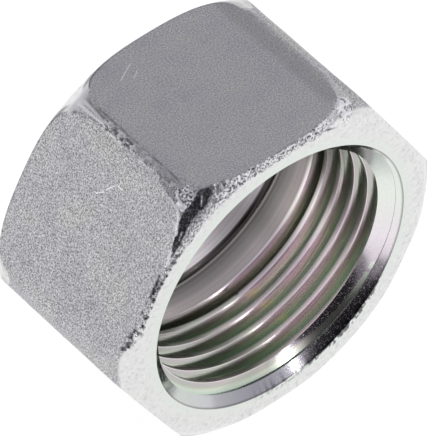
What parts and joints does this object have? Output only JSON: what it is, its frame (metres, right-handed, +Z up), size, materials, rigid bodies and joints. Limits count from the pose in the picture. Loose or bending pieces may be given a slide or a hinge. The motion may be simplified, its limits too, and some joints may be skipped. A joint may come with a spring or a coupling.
{
  "type": "union nut",
  "caption": "Hexagon union nut of a compression tube fitting: internally threaded mouth, smooth bore, 45 degree cone for the ring, and a plain hole where the tube comes out.",
  "frame": {"origin": "on the surface that the nut lies on, under the middle of its box", "axes": "+Z up, away from the flat it lies on; -Y out of the threaded mouth, along the bore; +X across the corners"},
  "size_m": [0.0408, 0.0202, 0.036],
  "materials": {
    "zinc_plated_steel": "satin"
  },
  "bodies": {
    "root": {"union_nut": "zinc_plated_steel"}
  },
  "joints": []
}
